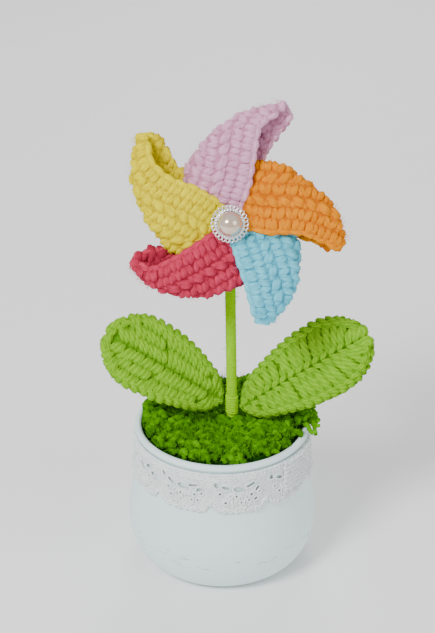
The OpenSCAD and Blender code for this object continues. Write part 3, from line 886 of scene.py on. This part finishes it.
def build_leaf(rng, name, hand, length, joint, body, node, front, back):
    """A leaf of crochet; front and back are the functions that make its two faces."""
    leaf = Leaf(hand, length, joint)
    yarn = yarn_paint(name + "_yarn", (0.31, 0.64, 0.02), (0.012, 0.13, 0.0))
    # Ground: a thin closed skin under the stitches, painted dark as the shade between them
    s = (1 - np.cos(np.linspace(0, math.pi, 48))) / 2
    across = 0.93 * leaf_half(s)[:, None] * np.linspace(-1, 1, 21)[None]
    along = np.broadcast_to(s[:, None] * length, across.shape)
    top, _ = leaf.at(along, across, np.full(along.shape, GROUND_HALF))
    under, _ = leaf.at(along, across, np.full(along.shape, -GROUND_HALF))
    verts, faces = slab(top, under)
    ground = make_piece(name + "_ground", verts, faces, yarn, body, [node],
                        np.full(len(verts), 0.15))

    work = Strands(sides=15, plies=5, ply_depth=0.15, turn=3.2, flat=1.12, rough=0.03, shade=0.6)
    front(work, rng, leaf, 1)
    back(work, rng, leaf, -1)
    # Edging: links that overlap like a braid, one row on each face and one on the very edge
    for inset, lift, radius in ((0.9, 0.0, 1.25), (1.5, 1.0, 1.15), (1.5, -1.0, 1.15)):
        links = int(leaf_rim(leaf, inset, 10)[1] / LINK_PITCH)
        rim_points, _ = leaf_rim(leaf, inset, links * 4 + 1)
        rise = lift + 0.3 * np.sin(np.linspace(0, math.pi, 7)) * (1 if lift >= 0 else -1)
        paths = []
        for k in range(links):
            part = rim_points[np.clip(np.arange(k * 4 - 1, k * 4 + 6), 0, len(rim_points) - 1)]
            swing = 1 - 0.07 * np.sin(np.linspace(-0.5, 1, 7) * math.pi) + 0.01 * rng.standard_normal()
            paths.append(np.stack([part[:, 0], part[:, 1] * swing, rise], 1))
        # Painted shade at the ends of each link
        leaf_strands(work, leaf, paths, radius * plump(LEAF_RINGS, 0.5, 1.0),
                     0.35 + 0.65 * plump(LEAF_RINGS, 0.1, 1.0), 1)
    # Ends of yarn that draw the foot of the leaf in to the stem
    for lift in (-1.0, 0.0, 1.0):
        foot = [[4.0, 1.6 * lift, 0.8 * lift], [1.6, 1.0 * lift, 0.7 * lift], [-0.6, 0.6 * lift, 0.5 * lift]]
        x, y, z = np.array(foot).T
        points = leaf.root + x[:, None] * leaf.along + y[:, None] * leaf.side + z[:, None] * leaf.face
        work.add(spline(points, np.linspace(0, 1, 11)), np.linspace(1.15, 0.85, 11), leaf.face, 0.8)
    stitches = work.piece(name + "_stitches", yarn, body, "leaf_yarn")
    hairs = fibres()
    x = rng.uniform(8, length, LEAF_HAIRS)
    y = rng.uniform(-1, 1, LEAF_HAIRS)
    y = np.sign(y) * np.abs(y) ** 0.6 * leaf_half(x / length)
    off = np.where(rng.uniform(0, 1, LEAF_HAIRS) < 0.5, 1.0, -1.0)
    points, normals = leaf.at(x, y, 1.9 * off)
    fuzz(hairs, rng, points, normals * off[:, None], 1.1, 0.05, 1.0)
    fluff = hairs.piece(name + "_fluff", yarn, body, "leaf_yarn")


# Tone along a strand: painted shade at its ends, where it goes into the fabric, and the full colour on its
# crown
CROWN = 0.15 + 0.85 * plump(LEAF_RINGS, 0.0, 1.0)


def leaf_post_side(work, rng, leaf, face_sign):
    """Tall posts on both sides of the middle, fanned towards the tip."""
    for hand in (1, -1):
        paths, radii = [], []
        count, start = int(1.22 * leaf.length / POST_PITCH), 0.7
        for x in np.linspace(0, 1, count) ** 0.86 * (leaf.length - 3.5) + 0.6:
            lean = 0.4 + 7.5 * (x / leaf.length) ** 2
            foot = x + 0.25 * rng.standard_normal()
            tip = min(foot + lean, leaf.length - 1.2)
            reach = float(leaf_half(np.array(tip / leaf.length))) - 1.4
            if reach < 1.6:
                continue
            room = reach - start
            wave = 0.5 * rng.standard_normal()
            paths.append([[foot, hand * start, 0.1], [foot + 0.12 * lean, hand * (start + 0.2 * room), 0.95],
                          [foot + 0.45 * lean + wave, hand * (start + 0.5 * room), 1.25],
                          [foot + 0.8 * lean, hand * (start + 0.8 * room), 0.95],
                          [tip, hand * (reach + 0.5), 0.1]])
            radii.append(rng.uniform(1.62, 1.85) * plump(LEAF_RINGS, 0.7, 1.0))
        leaf_strands(work, leaf, paths, np.array(radii), CROWN, face_sign)
        # Slanted lumps between the feet of the posts
        paths = [[[x - 1.6, hand * 0.1, 0.6], [x - 0.4, hand * 1.0, 1.3], [x + 1.2, hand * 2.0, 1.1],
                  [x + 2.2, hand * 3.0, 0.3]] for x in np.arange(2.6, leaf.length - 5.0, POST_PITCH)]
        # Painted shade at the ends of each lump
        leaf_strands(work, leaf, paths, 1.15 * plump(LEAF_RINGS, 0.6, 1.0),
                     0.25 + 0.75 * plump(LEAF_RINGS, 0.0, 1.0), face_sign)


def leaf_v_side(work, rng, leaf, face_sign):
    """V stitches in rows each side of a sunk middle line."""
    for hand in (1, -1):
        paths, radii = [], []
        for x in np.arange(0.6, leaf.length - 1.2, V_PITCH):
            room = float(leaf_half(np.array(min((x + 2.5) / leaf.length, 0.985)))) - 1.6
            if room < 1.5:
                continue
            rows = max(1, int(round(room / 5.4)))
            step = room / rows
            lean = 1.4 + 2.2 * (x / leaf.length)
            for row in range(rows):
                low, high = 0.35 + row * step, 0.35 + (row + 1) * step
                base = x + (row % 2) * V_PITCH * 0.5 + row * 1.2 + 0.2 * rng.standard_normal()
                tip = base + lean
                if tip > leaf.length - 1.0:
                    continue
                for leg in (-1, 1):
                    spread = leg * 1.12
                    paths.append([[base + 0.45 * leg, hand * low, 0.0],
                                  [base + 0.25 * lean + 0.85 * spread, hand * (low + 0.25 * step), 1.0],
                                  [base + 0.6 * lean + spread, hand * (low + 0.6 * step), 1.25],
                                  [tip + spread, hand * (high - 0.4), 0.7],
                                  [tip + 0.95 * spread, hand * (high + 0.3), -0.1]])
                    radii.append(rng.uniform(1.22, 1.4) * plump(LEAF_RINGS, 0.68, 1.0))
        leaf_strands(work, leaf, paths, np.array(radii), CROWN, face_sign)


# ---------------------------------------------------------------- wheel

WHEEL_AT = np.array(JOINTS["wheel_spin"]["pos_m"]) / MM
WHEEL_N = unit(np.array(JOINTS["wheel_spin"]["axis"], float))
WHEEL_U = np.array([1.0, 0, 0])
WHEEL_V = np.cross(WHEEL_N, WHEEL_U)


def wheel_place(p):
    """From the wheel's own frame, X right, Y up its face and Z towards the viewer."""
    p = np.asarray(p, float)
    return WHEEL_AT + p[..., 0:1] * WHEEL_U + p[..., 1:2] * WHEEL_V + p[..., 2:3] * WHEEL_N


# Each blade: its front edge, its fold and its back edge, from the hub out to the tip
BLADES = {
    "yellow": ([(-1, 5, 2), (-12, 12, 4.6), (-23, 16.6, 5.4), (-30, 23, 5), (-31.8, 32.5, 2.6)],
               [(-17.5, -13, 0), (-26, -6, 0), (-33, 6, 0.4), (-36.6, 19, 0.6), (-34.6, 33, 0.6)],
               [(-2, 7, -2), (-12, 14.5, -4.6), (-20.5, 20, -5), (-25, 27.5, -3.8), (-30.5, 33.5, -1.4)]),
    "lilac": ([(3, 5, 2), (6.7, 15, 4.6), (8.7, 26, 5.2), (11, 37, 4.4), (19.5, 43.4, 2.4)],
              [(-15, 9, 0), (-16, 20, 0), (-8.6, 30.5, 0.4), (2, 39.5, 0.6), (20.5, 45.5, 0.6)],
              [(4, 6, -2), (9, 17, -4.6), (12.8, 26.5, -5), (18, 34.5, -3.8), (23, 41, -1.4)]),
    "orange": ([(5, -1, 2), (14.5, -2.6, 4.6), (25, -2.8, 4.8), (34.5, -5.6, 3.8), (40.8, -9.4, 2)],
               [(5, 21, 0), (17, 22.5, 0), (30.5, 14, 0.4), (40.5, 4, 0.6), (43.2, -7.4, 0.6)],
               [(5, -1.5, -2), (14, -4, -4.6), (25, -4.4, -4.6), (35, -7, -3.4), (42, -9.8, -1)]),
    "blue": ([(0.5, -5, 2), (3.8, -14, 4.6), (6.6, -22, 4.6), (8.8, -30, 3.4), (10.8, -37.4, 2)],
             [(23.5, 0, 0), (26, -12, 0), (24.6, -24, 0.4), (20, -33, 0.6), (14.4, -38, 0.6)],
             [(2, -5, -2), (6, -14, -4.6), (9, -22, -4.4), (11, -30, -3), (12.6, -37.8, -1)]),
    "rose": ([(-3, -2.5, 2), (-12, -8.5, 4.6), (-21, -13.8, 5.2), (-30, -18, 4.6), (-35.8, -15.6, 2.6)],
             [(7.5, -22.5, 0), (-7.5, -27, 0), (-21, -26.8, 0.4), (-31.5, -22, 0.6), (-37.2, -15.6, 0.6)],
             [(-4, -1, -2), (-13, -6, -4.6), (-23, -10.5, -5), (-30, -11.6, -3.8), (-35.4, -12.4, -1.4)]),
}
# Yarn colours on the crowns of the stitches, and the colours of painted shade in the gaps between them
YARN_AND_GAP_SHADE_COLOURS = {
    "yellow": ((0.88, 0.77, 0.0), (0.42, 0.29, 0.0)),
    "lilac": ((0.84, 0.48, 0.65), (0.34, 0.08, 0.18)),
    "orange": ((0.92, 0.33, 0.0), (0.42, 0.06, 0.0)),
    "blue": ((0.20, 0.76, 0.94), (0.010, 0.17, 0.27)),
    "rose": ((0.68, 0.055, 0.12), (0.16, 0.001, 0.006)),
}


def folded(front, fold, back):
    """Middle surface of a folded blade for s along it and a from front edge to back edge."""

    def middle(s, a):
        turn = math.pi * (a - 0.5)
        edge = np.where((a < 0.5)[..., None], spline(front, s), spline(back, s))
        crease = spline(fold, s)
        inward, height = (1 - np.cos(turn))[..., None], np.abs(np.sin(turn))[..., None]
        share = np.concatenate([inward, inward, height], -1)
        return wheel_place(crease + (edge - crease) * share)

    return middle


def cloth_shell(cloth, thick):
    """A closed thin skin over the cloth's middle, in from its edges, and its one-sided area."""
    n_s, n_d = 40, 60
    s = np.linspace(0.0, 1.0, n_s)
    width = cloth.width_at(s)
    along = np.broadcast_to(s[:, None], (n_s, n_d))
    across = width[:, None] * np.linspace(0.0, 1.0, n_d)[None]
    outer, _ = cloth.at(along, across, np.full(along.shape, thick / 2))
    inner, _ = cloth.at(along, across, np.full(along.shape, -thick / 2))
    middle, _ = cloth.at(along, across, np.zeros(along.shape))
    d1, d2 = middle[1:, :-1] - middle[:-1, :-1], middle[:-1, 1:] - middle[:-1, :-1]
    area = float(np.linalg.norm(np.cross(d1, d2), axis=-1).sum())
    length = float(np.linalg.norm(np.diff(middle, axis=0), axis=-1).sum(0).max())
    return *slab(outer, inner), area, float(width.max()), length


# Strand shapes in one stitch: (along, across, lift); along is the way the row runs
POST_LEG = [(0.7, 0.3, 0.0), (0.95, 1.0, 0.55), (1.05, 2.3, 0.75), (0.95, 3.6, 0.5), (0.6, 4.3, -0.1)]
V_LEG = [(0.45, 0.2, -0.2), (0.85, 1.0, 0.5), (1.2, 2.2, 0.75), (1.6, 3.3, 0.5), (1.8, 4.2, -0.2)]
LUMP = [(-1.9, 0.6, -0.2), (-1.1, 1.3, 0.45), (0.0, 2.2, 0.75), (1.1, 3.1, 0.45), (1.9, 3.9, -0.2)]
TUCK = [(1.0, 0.4, -0.1), (1.6, 0.9, 0.3), (2.2, 1.4, 0.4), (2.9, 1.9, 0.1), (3.3, 2.3, -0.3)]
RIM_LINK = [(-3.0, 0.25, 0.0), (-1.6, -0.25, 0.5), (0.2, -0.45, 0.55), (1.8, -0.3, 0.35), (3.0, 0.3, -0.2)]
RIM_UNDER = [(-3.0, 0.1, -0.3), (-1.5, -0.2, -0.75), (0.2, -0.35, -0.75), (1.8, -0.2, -0.6),
             (3.0, 0.2, -0.2)]


def mirror(shape):
    return [(-x, y, z) for x, y, z in shape]


def knit(strands, cloth, rng, side, shade):
    """Crochet stitches over one side of the cloth, row by row from its front edge."""
    rows = int(cloth.width.max() / ROW) + 1
    crown = 0.3 + 0.7 * plump(STRAND_RINGS, 0.0, 1.0)
    for j in range(rows):
        d = j * ROW
        places, rates, squash = cloth.row(d, STITCH, 0.5 * (j % 2))
        n = len(places)
        if n == 0:
            continue
        # Painted shade: darker where each strand goes into the fabric, times the side's shade, with a random
        # tone for each stitch
        tone = shade * crown[None] * rng.uniform(0.82, 1.0, (n, 1))
        lean = 1 if j % 4 < 2 else -1
        if j == 0:
            strokes = [(POST_LEG, 1.36), (mirror(POST_LEG), 1.36)]
        elif j % 2:
            strokes = [(V_LEG, 1.3), (mirror(V_LEG), 1.3)]
        else:
            strokes = [(LUMP if lean > 0 else mirror(LUMP), 1.62), (TUCK if lean > 0 else mirror(TUCK), 1.1)]
        for shape, base in strokes:
            fat = base * plump(STRAND_RINGS, 0.74, 1.0)[None] * rng.uniform(0.94, 1.08, (n, 1))
            stamp(strands, cloth, rng, places, rates, d, shape, fat, tone, side, squash)


def edge_places(cloth, border, pitch):
    """Places evenly spaced along a border of the cloth, and millimetres of it per unit of s."""
    s = np.linspace(0, 1, 400)
    line = cloth.read(cloth.grid, s, border(s))
    run = np.concatenate([[0], np.linalg.norm(np.diff(line, axis=0), axis=1).cumsum()])
    at_s = np.interp(np.arange(0.3 * pitch, run[-1], pitch), run, s)
    return at_s, np.interp(at_s, s, np.gradient(run, s))


def build_blade(rng, name):
    cloth = Cloth(folded(*BLADES[name]))
    slot_name = name + "_yarn"
    yarn = yarn_paint(slot_name, *YARN_AND_GAP_SHADE_COLOURS[name])
    # The shell between the two faces is painted dark, as the shade seen between the stitches
    verts, faces, area, width, length = cloth_shell(cloth, SHELL_T)
    shell = make_piece(name + "_cloth", verts, faces, yarn, WHEEL, ["blade_" + name],
                       np.full(len(verts), 0.28))
    work = Strands(sides=12, plies=4, ply_depth=0.10, turn=3.8, flat=1.16, rough=0.06, shade=0.36)
    knit(work, cloth, rng, 1.0, 1.0)
    # The inner side of the fold is painted darker, as shade
    knit(work, cloth, rng, -1.0, 0.55)
    # Painted shade at the ends of the edge links and the end strands
    tone = 0.45 + 0.55 * plump(STRAND_RINGS, 0.2, 1.0)
    for border, turn in ((np.zeros_like, 1), (cloth.width_at, -1)):
        places, rates = edge_places(cloth, border, STITCH)
        for link in (RIM_LINK, RIM_UNDER):
            shape = [(x, turn * y, z) for x, y, z in link]
            stamp(work, cloth, rng, places, rates, 0, shape, 1.12 * plump(STRAND_RINGS, 0.7, 1.0), tone,
                  border=border)
    # The tip and the hub end are closed off with strands laid along each
    for s_at in (0.004, 0.996):
        w = float(cloth.width_at(s_at))
        n = max(3, int(w / 3.4))
        d = (np.arange(n) + 0.5) * w / n
        ring = np.linspace(-2.2, 2.2, STRAND_RINGS)
        s = np.full((n, STRAND_RINGS), s_at)
        lift = np.broadcast_to(0.4 * np.cos(ring * 0.7), s.shape)
        points, normals = cloth.at(s, d[:, None] + ring[None], lift)
        work.add(points, 1.3 * plump(STRAND_RINGS, 0.75, 1.0), normals, tone)
    stitches = work.piece(name + "_stitches", yarn, WHEEL, slot_name)
    hairs = fibres()
    s = rng.uniform(0, 1, BLADE_HAIRS)
    d = rng.uniform(-0.02, 1.02, BLADE_HAIRS) * cloth.width_at(s)
    off = np.where(rng.uniform(0, 1, BLADE_HAIRS) < 0.7, 1.0, -1.0)
    points, normals = cloth.at(s, d, 1.55 * off)
    edges = np.minimum(d, cloth.width_at(s) - d) < 1.0
    fuzz(hairs, rng, points, normals * np.where(edges, 0.2, off)[:, None], 1.5, 0.055, 1.0)
    fluff = hairs.piece(name + "_fluff", yarn, WHEEL, slot_name)


# Heights along the axle, from the middle of the wheel towards the viewer
PAD_BACK, PAD_FRONT, SETTING_W = -7.4, -5.4, 6.4
SLEEVE_FRONT, SLEEVE_BACK = -8.364, -15.364
BEAD_GAP, BEAD_L = 0.3, 2.6
PIN_R, BEAD_R, PAD_R = 0.8, 2.4, 9.0
PEARL_R, PEARL_LIFT = 4.8, 1.4
SETTING_CUP = [(0, 6.4), (5.7, 6.4), (5.9, 6.6), (5.7, 7.1), (5.4, 7.4), (5.2, 8.2), (5.0, 8.3),
               (4.85, 8.0), (4.8, 7.4), (0, 7.4)]
SETTING_LOOPS, LOOP_WIRE = 26, 0.27
# Each loop: its centre from the axis, half its length and half its width
LOOP_AT, LOOP_REACH, LOOP_HALF = 6.35, 0.78, 0.66
# The two beaded wires round the pearl: radius, height and thickness
SETTING_RINGS = [(5.25, 7.9, 0.36), (5.6, 7.2, 0.3)]


def drilled(low, high, r, soft):
    """Outline of a ring with rounded outer corners, closed on itself by its bore."""
    return ([(PIN_R, low), (r - soft, low)] + arc(r - soft, low + soft, soft, -90, 0, 7)
            + arc(r - soft, high - soft, soft, 0, 90, 7) + [(PIN_R, high), (PIN_R, low)])


def build_hub():
    felt = yarn_paint("hub_felt_wool", (0.74, 0.75, 0.72), (0.45, 0.46, 0.44), 0.2)
    bead = bead_paint("bead_plastic", (0.80, 0.76, 0.66), 0.25)
    silver = metal_paint("silver_plate", (0.90, 0.90, 0.91), 0.18)
    steel = metal_paint("pin_steel", (0.62, 0.62, 0.63), 0.3)
    rear = SLEEVE_BACK - BEAD_GAP
    pin_back = rear - 3
    pin = ([(0, pin_back)] + arc(PIN_R - 0.3, pin_back + 0.3, 0.3, -90, 0, 6)
           + [(PIN_R, SETTING_W), (0, SETTING_W)])
    for name, outline, paint, slot_name, node, steps in (
            ("hub_felt", drilled(PAD_BACK, PAD_FRONT, PAD_R, 0.7), felt, "felt", "hub_pad", 96),
            ("bead_front", drilled(SLEEVE_FRONT + BEAD_GAP, PAD_BACK, BEAD_R, 0.3), bead, "bead_plastic",
             "front_bead", 48),
            ("bead_rear", drilled(rear - BEAD_L, rear, BEAD_R, 0.9), bead, "bead_plastic", "rear_bead", 48),
            ("pin_rod", pin, steel, "wire", "axle_pin", 32),
            ("setting_cup", SETTING_CUP, silver, "silver_setting", "pearl_setting", 120)):
        turned_piece(name, outline, paint, WHEEL, node, wheel_place, steps)
    loops = Strands(sides=10, plies=3, ply_depth=0.0, turn=5.5)
    turn = np.linspace(0, 2 * math.pi, 25)
    for k in range(SETTING_LOOPS):
        angle = 2 * math.pi * k / SETTING_LOOPS
        c, d = math.cos(angle), math.sin(angle)
        out, across = LOOP_AT + LOOP_REACH * np.cos(turn), LOOP_HALF * np.sin(turn)
        height = np.full_like(turn, SETTING_W + 0.55)
        ring = np.stack([c * out - d * across, d * out + c * across, height], -1)
        loops.add(wheel_place(ring), LOOP_WIRE, WHEEL_N, 1.0)
    turn = np.linspace(0, 2 * math.pi, 121)
    for radius, height, fat in SETTING_RINGS:
        ring = np.stack([radius * np.cos(turn), radius * np.sin(turn), np.full_like(turn, height)], -1)
        loops.add(wheel_place(ring), fat * (1 + 0.25 * np.cos(turn * 30)), WHEEL_N, 1.0)
    loops.piece("setting_loops", silver, WHEEL, "silver_setting")
    base = SETTING_W + 1
    middle = base + PEARL_LIFT
    start = -math.degrees(math.asin(PEARL_LIFT / PEARL_R))
    ball = [(0, base)] + arc(0, middle, PEARL_R, start, 89.9, 60) + [(0, middle + PEARL_R)]
    turned_piece("pearl_drop", ball, pearl_paint(), WHEEL, "pearl", wheel_place, 96)


# ---------------------------------------------------------------- build


def paint_hidden():
    """Materials of the CAD nodes that are carried as they are."""
    steel = metal_paint("wire_steel", (0.60, 0.60, 0.61), 0.32)
    coats = {"plaster_weight": matt_paint("cast_plaster", (0.76, 0.74, 0.69), 0.85),
             "foam_plug": matt_paint("flower_foam", (0.06, 0.17, 0.04), 0.95),
             "stem_wire": steel, "axle_sleeve": steel, "left_leaf_wire": steel, "right_leaf_wire": steel}
    for name, coat in coats.items():
        mesh = frame["nodes"][name].data
        mesh.materials.clear()
        mesh.materials.append(coat)


rng = np.random.default_rng(7)
make_camera()
make_stage()
paint_hidden()
build_pot()
build_lace(rng)
build_lace_end(rng)
build_moss(rng)
build_stem(rng)
build_leaf(rng, "leaf_l", -1, 56, "left_leaf_bend", LEFT, "left_leaf", leaf_v_side, leaf_post_side)
build_leaf(rng, "leaf_r", 1, 61, "right_leaf_bend", RIGHT, "right_leaf", leaf_post_side, leaf_v_side)
for blade in BLADES:
    build_blade(rng, blade)
build_hub()
